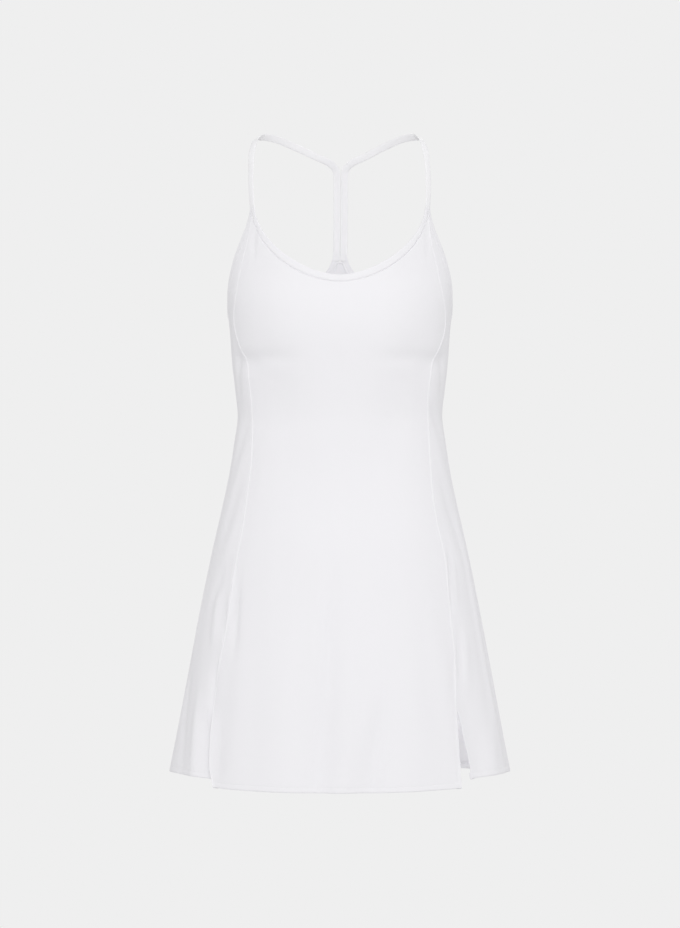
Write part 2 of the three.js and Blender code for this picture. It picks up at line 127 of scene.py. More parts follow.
# Finer creases on the side towards the front: distance to the right of the middle and
# height of both ends, width and depth, in millimetres
nearCreases = [
    # tucks below the front strap ends
    (-102.5, -112, -108, -164, 2.3, -1.7), (-109, -118, -114, -150, 2.4, 0.5),
    (104.5, -104, 108.5, -160, 2.2, -1.5),
    # the pull under the bust, from both seams towards the middle
    (-130, -277, -40, -279, 9, -1.9), (130, -277, 38, -279, 9, -1.7), (-134, -277, -88, -291, 12, -3.0),
    (134, -277, 90, -291, 12, -2.6), (-101, -286, -99, -392, 10, -0.9), (101, -288, 100, -380, 10, -0.8),
    # side panels below the arms, drawn in behind the seams
    (-128.5, -252, -124, -345, 7, -1.8), (128.5, -254, 124, -340, 7, -1.3),
    # drags from the bust to the side seams
    (-131.5, -205, -138, -232, 7, -0.8), (131, -205, 137.5, -228, 7, -0.7),
    # soft diagonal drapes from the waist towards the hips
    (-112, -340, -133, -420, 8, -1.5), (-116, -384, -139, -462, 9, 1.2), (-121, -420, -147, -512, 9, -1.7),
    (-127, -470, -152, -560, 9, 1.1), (-138, -520, -161, -592, 8, -1.6), (113, -325, 131, -396, 8, -1.4),
    (117, -372, 141, -456, 9, 1.2), (122, -420, 150, -516, 9, -1.6), (130, -480, 156, -560, 9, 1.0),
    # short ones beside the skirt's princess seams, on the left
    (-133.5, -508, -143, -618, 2.8, -1.7), (-124.5, -532, -130.5, -652, 4.6, -3.1),
    (-136, -560, -140, -610, 4, 0.7), (-149, -560, -157, -640, 6, 2.9),
    (-149.5, -628, -164, -768, 4.2, -2.4), (-151, -662, -150, -812, 6, -1.4),
    (-173, -680, -175, -830, 7, 3.0), (-186, -620, -192, -830, 7, -1.6),
    # and on the right
    (131.8, -502, 138.5, -598, 2.5, -1.7), (137.5, -518, 143, -584, 5, 1.3),
    (146, -600, 149, -688, 3.4, -2.5), (139, -640, 139.5, -704, 5, -0.9),
    (153, -612, 158, -700, 6, 1.6), (169, -720, 176, -800, 9, -1.2),
    (184, -690, 190, -800, 8, 1.2), (168, -545, 187, -655, 5, -2.2),
    # long shallow troughs down the middle of the skirt
    (-8, -520, -31, -870, 13, -4.6), (49, -690, 33, -870, 10, -4.2), (10, -600, 4, -850, 12, 1.0),
    (-62, -560, -70, -850, 16, 0.9), (84, -580, 92, -850, 16, 0.9),
]

# The same round the sides and the back: turn and height of both ends, width and depth
farCreases = [
    # the sides turn over a soft edge towards the back
    (76.5, -440, 75.5, -840, 7, 3.0), (84, -450, 83, -840, 7, -3.2), (-83, -500, -82, -830, 7, 1.4),
    (98, -520, 99, -830, 13, 1.5), (-97, -560, -98, -830, 12, 1.4),
    # the waist, where the side panels and the back bend
    (86, -330, 110, -350, 9, -1.4), (-88, -334, -114, -346, 9, -1.5), (90, -366, 118, -352, 9, 0.9),
    (120, -330, 152, -346, 10, -1.5), (-122, -342, -150, -334, 10, -1.4), (126, -362, 160, -352, 9, 1.0),
    (-128, -366, -158, -356, 10, -1.1), (164, -338, -170, -346, 11, -1.3), (150, -322, 172, -318, 9, -0.8),
    # long soft drapes from the waist over the hips
    (-92, -392, -96, -520, 11, -1.6), (94, -400, 98, -540, 11, -1.6), (-104, -420, -108, -600, 12, 1.6),
    (106, -430, 110, -610, 12, 1.5), (128, -410, 131, -560, 12, -1.5), (-131, -420, -132, -580, 12, -1.6),
    (150, -430, 149, -600, 12, 1.2), (-152, -440, -150, -610, 12, 1.2), (173, -430, 170, -590, 12, -1.2),
    # below the arms and towards the back straps
    (104, -232, 116, -262, 9, -1.0), (-106, -234, -120, -258, 9, -1.1), (150, -196, 166, -230, 9, -0.8),
    (-152, -198, -168, -226, 9, -0.8), (112, -286, 140, -300, 11, -1.0), (-114, -290, -144, -306, 11, -1.1),
    # beside the back seams, towards the hem
    (121, -640, 120, -720, 5, -1.4), (135, -600, 136, -690, 5, -1.3), (-121, -600, -121, -690, 5, -1.5),
    (-135.5, -650, -137, -740, 5, -1.2),
]

# In shares of a crease's length: how far it shows beyond its ends, how far from its start it is full, and
# how far from its end it begins to fade
creaseEnds = {"beyond": 0.08, "full": 0.35, "fades": 0.4}

# Slow waves of cloth that hangs: height on the bodice, what the skirt adds, and from where to where
sway = {"bodice": 0.12, "skirt": 0.3, "from": 380, "to": 700}


def mix(a, b, share):
    return a + (b - a) * share


def smooth(x, low, high):
    t = np.clip((x - low) / (high - low), 0, 1)
    return t * t * (3 - 2 * t)


# A smooth curve through one column of a table whose first column is the height
def throughRows(table, column, z):
    heights, values = table[:, 0], table[:, column]
    place = np.arange(len(heights))
    before, after = np.maximum(place - 1, 0), np.minimum(place + 1, len(heights) - 1)
    slopes = (values[after] - values[before]) / (heights[after] - heights[before])
    z = np.clip(z, heights[-1], heights[0])
    i = np.clip(np.searchsorted(-heights, -z, side="left") - 1, 0, len(heights) - 2)
    span = heights[i + 1] - heights[i]
    t = (z - heights[i]) / span
    s = 1 - t
    curve = values[i] * s * s * (1 + 2 * t) + values[i + 1] * t * t * (3 - 2 * t)
    return curve + span * t * s * (slopes[i] * s - slopes[i + 1] * t)


def sectionRadius(turn, z):
    across, along = np.abs(np.sin(turn * degree)), np.cos(turn * degree)
    square = throughRows(figure, 4, z)
    depth = np.where(along > 0, throughRows(figure, 2, z), throughRows(figure, 3, z))
    total = (across / throughRows(figure, 1, z)) ** square + (np.abs(along) / depth) ** square
    return total ** (-1 / square)


def bustFullness(turn, x, z):
    facing = smooth(np.cos(turn * degree), 0, bust["facing"])
    sideways = smooth(np.abs(x), bust["innerHalf"], bust["outerHalf"])
    below = mix(bust["belowMiddle"], bust["belowSide"], sideways)
    fall = np.exp(-(((z - bust["z"]) / np.where(z > bust["z"], bust["above"], below)) ** 2))
    return facing * fall * bust["out"] * np.exp(-((x / bust["half"]) ** 4))


def turnBetween(a, b):
    return (a - b + 540) % 360 - 180


def foldDepth(turn, z):
    depth = 0
    for fromTurn, fromZ, toTurn, toZ, spread, deep in folds:
        grown = smooth(-z, -fromZ, -toZ + foldRunOn)
        middle = mix(fromTurn, toTurn, (z - fromZ) / (toZ - fromZ))
        depth = depth + deep * grown * np.exp(-((turnBetween(turn, middle) / spread) ** 2))
    return depth


# A point on the outside of the cloth, on its plain form
def skin(turn, z):
    turn, z = np.broadcast_arrays(np.asarray(turn, float), np.asarray(z, float))
    radius = sectionRadius(turn, z) + foldDepth(turn, z)
    x = radius * np.sin(turn * degree)
    y = -radius * np.cos(turn * degree) - bustFullness(turn, x, z)
    return np.stack([x, y, z], axis=-1)


def unit(vectors):
    return vectors / np.linalg.norm(vectors, axis=-1, keepdims=True)


def skinNormal(turn, z):
    around = skin(turn + 0.5, z) - skin(turn - 0.5, z)
    down = skin(turn, z - 1) - skin(turn, z + 1)
    return unit(np.cross(down, around))


# How far the creases lift or sink the cloth: each fades at its ends and to its sides
def creaseDepth(turn, z):
    depth = 0
    for fromTurn, fromZ, toTurn, toZ, width, deep in creases:
        reach = turnBetween(toTurn, fromTurn)
        scale = degree * sectionRadius(np.float64(fromTurn + reach / 2), np.float64((fromZ + toZ) / 2))
        alongX, alongZ = reach * scale, toZ - fromZ
        length = math.hypot(alongX, alongZ)
        x, y = turnBetween(turn, fromTurn) * scale, z - fromZ
        share = (x * alongX + y * alongZ) / length ** 2
        across = (x * alongZ - y * alongX) / length
        grown = smooth(share, -creaseEnds["beyond"], creaseEnds["full"])
        fade = grown * smooth(1 - share, -creaseEnds["beyond"], creaseEnds["fades"])
        depth = depth + deep * fade * np.exp(-((across / width) ** 2))
    return depth


def unevenness(turn, z):
    loose = sway["bodice"] + sway["skirt"] * smooth(-z, sway["from"], sway["to"])
    waves = np.sin(turn * 0.31 + z * 0.021) + np.sin(turn * 0.17 - z * 0.034 + 1.3)
    return loose * (waves + np.sin(turn * 0.53 + z * 0.011 + 2.1)) / 3


# A point at a height over the cloth's outside, with its creases
def onCloth(turn, z, height=0.0):
    lift = np.asarray(height, float) + creaseDepth(turn, z) + unevenness(turn, z)
    return skin(turn, z) + skinNormal(turn, z) * np.broadcast_to(lift, np.shape(turn))[..., None]


# Where a rising function passes zero, found by halving the way between two values
def halve(rising, low, high, steps=36):
    low, high = np.array(low, float), np.array(high, float)
    for _ in range(steps):
        middle = (low + high) / 2
        negative = rising(middle) < 0
        low, high = np.where(negative, middle, low), np.where(negative, high, middle)
    return (low + high) / 2


def turnAtHalfWidth(half, z):
    def rising(turn):
        return sectionRadius(turn, z) * np.sin(turn * degree) - half
    return halve(rising, np.zeros_like(z), z * 0 + 90)


# The turn over which a distance to the right lies, just inside the outline at most
def turnOver(x, z):
    half = min(abs(x), 0.995 * float(throughRows(figure, 1, np.float64(z))))
    return math.copysign(float(turnAtHalfWidth(half, np.float64(z))), x)


creases = farCreases + [
    (turnOver(fromX, fromZ), fromZ, turnOver(toX, toZ), toZ, width, deep)
    for fromX, fromZ, toX, toZ, width, deep in nearCreases
]

# Turns of the princess seams' two edges, read off once for every millimetre of height
seamHeights = np.arange(-812.0, -55.0)
halfWidths = {
    (-1, "front"): (1, 1), (-1, "side"): (1, 2), (1, "front"): (2, 3), (1, "side"): (2, 4),
}
seamTurns = {}
for key, (upper, lower) in halfWidths.items():
    seamHalf = np.where(seamHeights > slitTop, throughRows(frontSeam, upper, seamHeights),
                        throughRows(slitEdges, lower, seamHeights))
    seamTurns[key] = turnAtHalfWidth(seamHalf, seamHeights)


def frontSeamTurn(side, part, z):
    return np.interp(z, seamHeights, seamTurns[side, part])


# How far the cloth beside the closed left slit lies outside or inside the plain form
def lapLift(part, side, turn, z):
    if side > 0:
        return np.zeros(np.shape(z))
    fromEdge = np.abs(np.abs(turn) - frontSeamTurn(side, part, z)) * degree * sectionRadius(turn, z)
    height = lap["proud"] if part == "front" else -lap["tuck"]
    down = (slitTop - z) / (slitTop - hem["frontEdge"])
    return height * smooth(down, 0, lap["grownBy"]) * np.exp(-((fromEdge / lap["reach"]) ** 2))


# The neckline between its seam (0) and its finished edge (1), at an angle from the strap to the middle
def necklineAt(share, angle):
    half, drop, rounded = (mix(neckline["seam"][i], neckline["edge"][i], share) for i in range(3))
    return (half * np.maximum(np.cos(angle * degree), 0) ** (2 / rounded),
            strapEnd - drop * np.sin(angle * degree) ** (2 / rounded))


# A curve from start to end that leaves and arrives in given directions
def hermite(start, end, leave, arrive, t):
    cubic = 2 * start - 2 * end + leave + arrive
    square = -3 * start + 3 * end - 2 * leave - arrive
    return cubic * t ** 3 + square * t ** 2 + leave * t + start


# The armhole's finished edge at a share of its length
def armholeEdge(share):
    place = np.clip(share, 0, 1) * (len(armhole) - 1)
    i = np.minimum(place.astype(int), len(armhole) - 2)
    t = (place - i)[..., None]
    before, start = armhole[np.maximum(i - 1, 0)], armhole[i]
    end, after = armhole[i + 1], armhole[np.minimum(i + 2, len(armhole) - 1)]
    curve = hermite(start, end, (end - before) / 2, (after - start) / 2, t)
    return curve[..., 0], curve[..., 1]


# The same edge moved over the cloth by a distance towards the panels
def armholeInside(share, distance):
    turn, z = armholeEdge(share)
    step = 0.004
    ahead, behind = armholeEdge(share + step), armholeEdge(share - step)
    along = unit(skin(*ahead) - skin(*behind))
    inward = unit(np.cross(along, skinNormal(turn, z)))
    point = skin(turn, z) + inward * np.asarray(distance, float)[..., None]
    return np.arctan2(point[..., 0], -point[..., 1]) / degree, point[..., 2]


# Shader maths: one class that turns sockets into expressions

class Wire:
    def __init__(self, tree, socket=None):
        self.tree, self.socket = tree, socket

    def node(self, kind, settings=None, inputs=None, output=0):
        made = self.tree.nodes.new(kind)
        for name, value in (settings or {}).items():
            setattr(made, name, value)
        for name, value in (inputs or {}).items():
            if isinstance(value, Wire):
                self.tree.links.new(value.socket, made.inputs[name])
            else:
                made.inputs[name].default_value = value
        return Wire(self.tree, made.outputs[output])

    def maths(self, operation, *values):
        return self.node("ShaderNodeMath", {"operation": operation}, dict(enumerate(values)))

    def __add__(self, other):
        return self.maths("ADD", self, other)

    def __sub__(self, other):
        return self.maths("SUBTRACT", self, other)

    def __rsub__(self, other):
        return self.maths("SUBTRACT", other, self)

    def __mul__(self, other):
        return self.maths("MULTIPLY", self, other)

    def __truediv__(self, other):
        return self.maths("DIVIDE", self, other)

    def __pow__(self, other):
        return self.maths("POWER", self, other)

    def __abs__(self):
        return self.maths("ABSOLUTE", self)

    __radd__, __rmul__ = __add__, __mul__

    # A zigzag from 0 to 1 and back that repeats at every whole number
    def zigzag(self):
        return abs(self.maths("FRACT", self) - 0.5) * 2


def newMaterial(name, settings, height):
    material = bpy.data.materials.new(name)
    material.use_nodes = True
    tree = material.node_tree
    tree.nodes.clear()
    start = Wire(tree)
    texture = start.node("ShaderNodeUVMap", {"uv_map": "cloth"})
    across = start.node("ShaderNodeSeparateXYZ", inputs={0: texture}, output=0)
    along = start.node("ShaderNodeSeparateXYZ", inputs={0: texture}, output=1)
    place = start.node("ShaderNodeTexCoord", output=3)

    def noise(scale, detail):
        return start.node("ShaderNodeTexNoise", inputs={"Vector": place, "Scale": scale, "Detail": detail})

    cloudy, fibre = noise(settings["cloudScale"], 2.0), noise(settings["fibreScale"], 3.0)
    tone = (cloudy - 0.5) * settings["cloudShade"] + (fibre - 0.5) * settings["fibreShade"] + 0.5
    colour = start.node("ShaderNodeMix", {"data_type": "RGBA"},
                        {0: tone, 6: settings["dark"], 7: settings["light"]}, output=2)
    bump = start.node("ShaderNodeBump", inputs={
        "Strength": settings["bumpStrength"], "Distance": settings["bumpDepth"] * mm,
        "Height": height(across, along) + (fibre - 0.5) * settings["fuzz"]})
    shader = tree.nodes.new("ShaderNodeBsdfPrincipled")
    tree.links.new(colour.socket, shader.inputs["Base Color"])
    tree.links.new(bump.socket, shader.inputs["Normal"])
    rough = settings["roughness"] + (fibre - 0.5) * settings["roughShade"]
    tree.links.new(rough.socket, shader.inputs["Roughness"])
    shader.inputs["Specular IOR Level"].default_value = settings["specular"]
    shader.inputs["Sheen Weight"].default_value = settings["sheen"]
    shader.inputs["Sheen Roughness"].default_value = settings["sheenRoughness"]
    output = tree.nodes.new("ShaderNodeOutputMaterial")
    tree.links.new(shader.outputs[0], output.inputs[0])
    return material


jerseyFinish = {
    "light": (0.90, 0.893, 0.918, 1), "dark": (0.865, 0.858, 0.882, 1),
    "cloudScale": 9.0, "cloudShade": 0.5, "fibreScale": 900.0, "fibreShade": 0.6,
    "wale": 0.85, "course": 0.7, "slant": 0.55, "legShare": 0.65, "loopShare": 0.35,
    "bumpDepth": 0.14, "bumpStrength": 0.45, "fuzz": 0.5,
    "roughness": 0.78, "roughShade": 0.1, "specular": 0.25, "sheen": 0.05, "sheenRoughness": 0.5,
}
tapeFinish = {
    "light": (0.92, 0.915, 0.93, 1), "dark": (0.885, 0.88, 0.895, 1),
    "cloudScale": 14.0, "cloudShade": 0.4, "fibreScale": 700.0, "fibreShade": 0.4,
    "rib": 0.95, "pick": 0.6, "slant": 0.5, "ribShare": 0.6, "pickShare": 0.4,
    "bumpDepth": 0.12, "bumpStrength": 0.3, "fuzz": 0.3,
    "roughness": 0.7, "roughShade": 0.1, "specular": 0.2, "sheen": 0.05, "sheenRoughness": 0.5,
}
threadFinish = {
    "light": (0.92, 0.915, 0.93, 1), "dark": (0.86, 0.855, 0.87, 1),
    "cloudScale": 20.0, "cloudShade": 0.3, "fibreScale": 2500.0, "fibreShade": 0.8,
    "bumpDepth": 0.08, "bumpStrength": 0.5, "fuzz": 1.0,
    "roughness": 0.5, "roughShade": 0.1, "specular": 0.4, "sheen": 0.0, "sheenRoughness": 0.5,
}


# Columns of small V-shaped stitches
def knit(across, along):
    leg = (across / (jerseyFinish["wale"] * mm)).zigzag()
    loop = (along / (jerseyFinish["course"] * mm) + leg * jerseyFinish["slant"]).zigzag()
    return (1 - leg * leg) * jerseyFinish["legShare"] + loop * jerseyFinish["loopShare"]


# Ribs along the tape, with the fine weft that crosses them
def weave(across, along):
    rib = (across / (tapeFinish["rib"] * mm)).zigzag()
    pick = (along / (tapeFinish["pick"] * mm) + rib * tapeFinish["slant"]).zigzag()
    return (1 - rib * rib) * tapeFinish["ribShare"] + pick * tapeFinish["pickShare"]


# Thread is plain apart from its fibres
def plain(across, along):
    return across * 0 + 0.5


jersey = newMaterial("whiteJersey", jerseyFinish, knit)
tape = newMaterial("whiteTape", tapeFinish, weave)
thread = newMaterial("whiteThread", threadFinish, plain)
print("finishes ready")


# Lengths along the lines of a net of points, counted from one of its lines
def lengthsAlong(points, axis, start):
    steps = np.linalg.norm(np.diff(points, axis=axis), axis=-1)
    total = np.concatenate([np.zeros_like(np.take(steps, [0], axis)), np.cumsum(steps, axis=axis)], axis=axis)
    return total - np.take(total, [start], axis)


# A grid whose vertices are moved onto a net of points: rows first, in millimetres
def netMesh(points, flat):
    rowCount, columnCount = points.shape[0] - 1, points.shape[1] - 1
    mesh = bmesh.new()
    cloth = mesh.loops.layers.uv.new("cloth")
    bmesh.ops.create_grid(mesh, x_segments=columnCount, y_segments=rowCount, size=0.5)
    where = {}
    for vertex in mesh.verts:
        row, column = round((vertex.co.y + 0.5) * rowCount), round((vertex.co.x + 0.5) * columnCount)
        where[vertex] = row, column
        vertex.co = Vector(points[row, column]) * mm
    for face in mesh.faces:
        face.smooth = True
        for corner in face.loops:
            row, column = where[corner.vert]
            corner[cloth].uv = flat[row, column] * mm
    return mesh


def addPiece(name, mesh, material, replaced=None):
    data = bpy.data.meshes.new(name)
    mesh.to_mesh(data)
    mesh.free()
    piece = bpy.data.objects.new(name, data)
    bpy.context.scene.collection.objects.link(piece)
    data.materials.append(material)
    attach(piece, "root")
    if replaced:
        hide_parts(replaced)
    return piece


# The four panels

panelMake = {
    "cloth": 0.6, "upperRows": 62, "middleRows": 118, "slitRows": 34, "seamGap": 0.1,
    "bindingTuck": 2.2, "hemStart": 14, "nearHem": -800.0, "steepest": 3.5, "patternStart": (300, 900),
}

# Columns between a panel's edges, and the share of its width that is before the first of them
panelColumns = {"front": (92, 0.035), "side": (46, 0.055), "back": (97, 0.035)}

# Distance from the seam and height over the form, from the turned allowance to the open cloth
seamRidge = [(6, -1.3), (3, -1.32), (0.8, -1.35), (0.1, -1.1), (-0.05, -0.5), (0.05, 0.1), (0.25, 0.6),
             (0.55, 0.85), (0.85, 0.78), (1.2, 0.5), (1.6, 0.22), (2.1, 0.06), (2.9, 0), (4.4, 0)]
seamPlain = [(6, -1.3), (3, -1.32), (0.8, -1.35), (0.15, -1.15), (0.05, -0.8), (0.15, -0.4), (0.45, -0.12),
             (0.9, -0.02), (1.6, 0), (2.8, 0), (4.4, 0)]

# Distance below a bound top edge and height over the form, where the cloth dips under its binding
topTuck = [(0, -1.1), (1, -1.15), (2.0, -0.9), (2.3, -0.55), (2.6, -0.2), (3.0, -0.05), (3.8, 0), (5.5, 0)]

# Distance above the hem and height over the form, from the open cloth to the turned-up edge
hemTurn = [(11, 0), (9, 0), (7.7, 0), (7, -0.06), (6.5, -0.14), (6, -0.05), (5.2, 0.05), (3.8, 0.1),
           (2, 0.1), (0.8, 0.04), (0.25, -0.25), (0, -0.75), (0.25, -1.2), (0.8, -1.45), (2.6, -1.42),
           (5, -1.42), (7.6, -1.42)]


# Columns across a panel: a share of the way between its edges, a distance from there, a height
def columnsBetween(firstEdge, lastEdge, inside, margin):
    shares = [0.0] * len(firstEdge) + list(np.linspace(margin, 1 - margin, inside)) + [1.0] * len(lastEdge)
    offsets = [d for d, _ in firstEdge] + [0.0] * inside + [-d for d, _ in reversed(lastEdge)]
    heights = [h for _, h in firstEdge] + [0.0] * inside + [h for _, h in reversed(lastEdge)]
    return np.array(shares), np.array(offsets), np.array(heights)


# A ripple beside a seam, where the stitching draws the cloth up a little
puckerMake = {"height": 0.075, "reach": 4.5, "short": 2.7, "middle": 4.3, "long": 7.9}


def pucker(distance, z, phase):
    ripple = np.sin(z / puckerMake["short"] + phase) + np.sin(z / puckerMake["middle"] - 2 * phase)
    ripple = ripple + 0.8 * np.sin(z / puckerMake["long"] + 3 * phase)
    return puckerMake["height"] * ripple * np.exp(-distance / puckerMake["reach"])


def rowsBetween(first, last, count, start=0):
    return [mix(first, last, i / count) for i in range(start, count)]


def panel(name, firstTurn, lastTurn, columns, topOf, hemOf, liftOf=None, phase=0.0):
    shares, offsets, edgeHeights = columns

    def turnAt(z):
        first, last = firstTurn(z), lastTurn(z)
        base = mix(first, last, shares)
        return base + offsets / (degree * sectionRadius(base, z))

    tops = topOf(turnAt)
    atHem = np.full(len(shares), panelMake["nearHem"])
    placed = (turnAt(atHem) - firstTurn(atHem)) / (lastTurn(atHem) - firstTurn(atHem))
    hems = hemOf(np.clip(placed, 0, 1))
    # The top edge slants, so its rows lie further apart in height where it is steep
    edge = skin(turnAt(tops), tops)
    across = np.gradient(edge[:, 0]) ** 2 + np.gradient(edge[:, 1]) ** 2
    slant = np.sqrt(1 + np.gradient(tops) ** 2 / np.maximum(across, 1e-6))
    tucked = [tops - np.minimum(slant, panelMake["steepest"]) * below for below, _ in topTuck]
    upper = tucked + rowsBetween(tucked[-1], underArms, panelMake["upperRows"], 1)
    middle = [np.full(len(shares), z) for z in rowsBetween(underArms, slitTop, panelMake["middleRows"])]
    lower = rowsBetween(slitTop, hems + panelMake["hemStart"], panelMake["slitRows"])
    turned = [hems + above for above, _ in hemTurn]
    z = np.array(upper + middle + lower + turned)[::-1]
    rowHeights = np.array([h for _, h in topTuck] + [0.0] * (len(z) - len(topTuck) - len(hemTurn))
                          + [h for _, h in hemTurn])[::-1]
    turn = np.array([turnAt(row) for row in z])
    height = edgeHeights[None, :] + rowHeights[:, None]
    if liftOf:
        height = height + liftOf(turn, z)
    first, last = firstTurn(z), lastTurn(z)
    width = (last - first) * degree * sectionRadius(turn, z)
    fromSeam = np.minimum(np.abs(turn - first), np.abs(last - turn)) / (last - first) * width
    height = height + pucker(fromSeam, z, phase)
    points = onCloth(turn, z, height)
    acrossStart, upStart = panelMake["patternStart"]
    flat = np.stack([lengthsAlong(points, 1, len(shares) // 2) + acrossStart, z + upStart], axis=-1)
    piece = addPiece(name, netMesh(points, flat), jersey, name)
    wall = piece.modifiers.new("cloth", "SOLIDIFY")
    wall.thickness, wall.offset = panelMake["cloth"] * mm, -1
    print(name, "made,", len(piece.data.polygons), "faces")
    return piece


def gapTurn(turn, z):
    return panelMake["seamGap"] / 2 / sectionRadius(turn, z) / degree


def princessTurn(side, part):
    outward = -1 if part == "front" else 1

    def turnAt(z):
        turn = frontSeamTurn(side, part, z)
        return side * (turn + outward * gapTurn(turn, z))
    return turnAt


def backSeam(side, outward):
    return lambda z: side * (backSeamTurn + outward * gapTurn(backSeamTurn, z))


def neckTop(turnAt):
    tuck = panelMake["bindingTuck"] / bindingWidth
    ones = np.ones(len(frontColumns[0]))

    def rising(angle):
        half, z = necklineAt(tuck, angle)
        return np.abs(skin(turnAt(z), z)[..., 0]) - half
    angle = halve(rising, 0 * ones, 90 * ones)
    return np.minimum(frontCorner + 1, necklineAt(tuck, angle)[1])


def armholeTop(side):
    count = len(sideColumns[0])
    inside = np.full(count, bindingWidth - panelMake["bindingTuck"])

    def topOf(turnAt):
        def rising(share):
            turn, z = armholeInside(share, inside)
            return turn - side * turnAt(z)
        share = halve(rising, np.zeros(count), np.ones(count))
        return np.minimum(frontCorner + 1, armholeInside(share, inside)[1])
    return topOf


def frontHem(share):
    return mix(hem["frontMiddle"], hem["frontEdge"], (2 * share - 1) ** 2)


def frontLap(turn, z):
    return np.where(turn < 0, lapLift("front", -1, turn, z), 0)


frontEdges = princessTurn(-1, "front"), princessTurn(1, "front")
frontColumns = columnsBetween(seamRidge, seamRidge, *panelColumns["front"])
frontPanel = panel("front_panel", *frontEdges, frontColumns, neckTop, frontHem, frontLap, phase=0.4)


def sideHem(share):
    step = share ** (1 / hem["sideBend"])
    return np.where(step < 0.5, mix(hem["sideEdge"], hem["side"], smooth(step, 0, 0.5)),
                    mix(hem["side"], hem["backSeam"], smooth(step, 0.5, 1)))


sides = {"left": -1, "right": 1}
sideColumns = columnsBetween(seamPlain, seamPlain, *panelColumns["side"])
for name, side in sides.items():
    edges, hemOf = (princessTurn(side, "side"), backSeam(side, -1)), sideHem
    if side < 0:
        edges, hemOf = edges[::-1], lambda share: sideHem(1 - share)
    panel(
        f"side_panel_{name}", *edges, sideColumns, armholeTop(side), hemOf,
        lambda turn, z, side=side: lapLift("side", side, turn, z), phase=1.7 * side)


def backTop(turnAt):
    count = len(backColumns[0])
    inside = np.full(count, bindingWidth - panelMake["bindingTuck"])

    def rising(share):
        turn, z = armholeInside(share, inside)
        return turn - (180 - np.abs(turnAt(z) - 180))
    share = halve(rising, np.zeros(count), np.ones(count))
    return np.minimum(backCorner, armholeInside(share, inside)[1])


def backHem(share):
    return mix(hem["backMiddle"], hem["backSeam"], np.abs(2 * share - 1) ** hem["backBend"])


def farBackSeam(z):
    return 360 + backSeam(-1, 1)(z)


backColumns = columnsBetween(seamPlain, seamPlain, *panelColumns["back"])
backPanel = panel("back_panel", backSeam(1, 1), farBackSeam, backColumns, backTop, backHem, phase=2.9)


# Bindings and straps are swept: a closed section carried along a line

def sweptPiece(name, points, material, replaced=None):
    # points has one row for each station and one column for each point of the section
    closed = np.concatenate([points, points[:, :1]], axis=1)
    flat = np.stack([lengthsAlong(closed, 1, 0), lengthsAlong(closed, 0, 0)], axis=-1)
    mesh = netMesh(closed, flat)
    bmesh.ops.remove_doubles(mesh, verts=mesh.verts, dist=0.002 * mm)
    bmesh.ops.holes_fill(mesh, edges=[e for e in mesh.edges if e.is_boundary], sides=0)
    bmesh.ops.recalc_face_normals(mesh, faces=mesh.faces)
    piece = addPiece(name, mesh, material, replaced)
    print(name, "made,", len(piece.data.polygons), "faces")
    return piece


def signedPower(value, power):
    return np.sign(value) * np.abs(value) ** power


bindingMake = {
    "top": 0.3, "foot": -1.6, "points": 24, "edgeRound": 0.6, "faceRound": 0.32,
    "pucker": 0.09, "shortRipple": 2.3, "longRipple": 3.7, "fade": 4,
    "neckStations": 300, "armholeStations": 420, "fineSteps": 3000,
    "edgeClear": 0.05, "backMeeting": 179.93,
}


# Shares of the width from finished edge to seam, and heights, of the points round a binding's section
def bindingSection():
    angle = 2 * math.pi * np.arange(bindingMake["points"]) / bindingMake["points"]
    share = 0.5 - 0.5 * signedPower(np.cos(angle), bindingMake["edgeRound"])
    top, foot = bindingMake["top"], bindingMake["foot"]
    return share, (top + foot) / 2 + (top - foot) / 2 * signedPower(np.sin(angle), bindingMake["faceRound"])


def bindingPoints(edge, seam, phase):
    share, height = bindingSection()
    turn = mix(edge[0][:, None], seam[0][:, None], share)
    z = mix(edge[1][:, None], seam[1][:, None], share)
    middle = skin(mix(edge[0], seam[0], 0.5), mix(edge[1], seam[1], 0.5))
    run = lengthsAlong(middle, 0, 0)[:, None]
    ripple = np.sin(run / bindingMake["shortRipple"] + phase)
    ripple = ripple + np.sin(run / bindingMake["longRipple"] + 2 * phase)
    height = height + bindingMake["pucker"] * ripple * np.exp(-(1 - share) * bindingMake["fade"])
    return onCloth(turn, z, height)


def evenShares(curve, count):
    fine = np.linspace(0, 1, bindingMake["fineSteps"])
    run = lengthsAlong(skin(*curve(fine)), 0, 0)
    return np.interp(np.linspace(0, run[-1], count), run, fine)


def neckLines(count):
    def curve(share):
        angle = 90 - 90 * np.abs(2 * share - 1)
        half, z = necklineAt(1, angle)
        return np.sign(share - 0.5) * turnAtHalfWidth(half, z), z
    share = evenShares(curve, count)
    side = np.where(share < 0.5, -1, 1)
    angle = 90 - 90 * np.abs(2 * share - 1)
    edgeHalf, edgeZ = necklineAt(1, angle)
    seamHalf, seamZ = necklineAt(0, angle)
    seamTurn = turnAtHalfWidth(seamHalf, seamZ)
    limit = np.where(side < 0, frontSeamTurn(-1, "front", seamZ), frontSeamTurn(1, "front", seamZ))
    seamTurn = np.minimum(seamTurn, limit - bindingMake["edgeClear"])
    return (side * turnAtHalfWidth(edgeHalf, edgeZ), edgeZ), (side * seamTurn, seamZ)


neckEdge, neckSeam = neckLines(bindingMake["neckStations"])
neckBinding = sweptPiece(
    "neck_binding", bindingPoints(neckEdge, neckSeam, 0.3), jersey, "neck_binding")


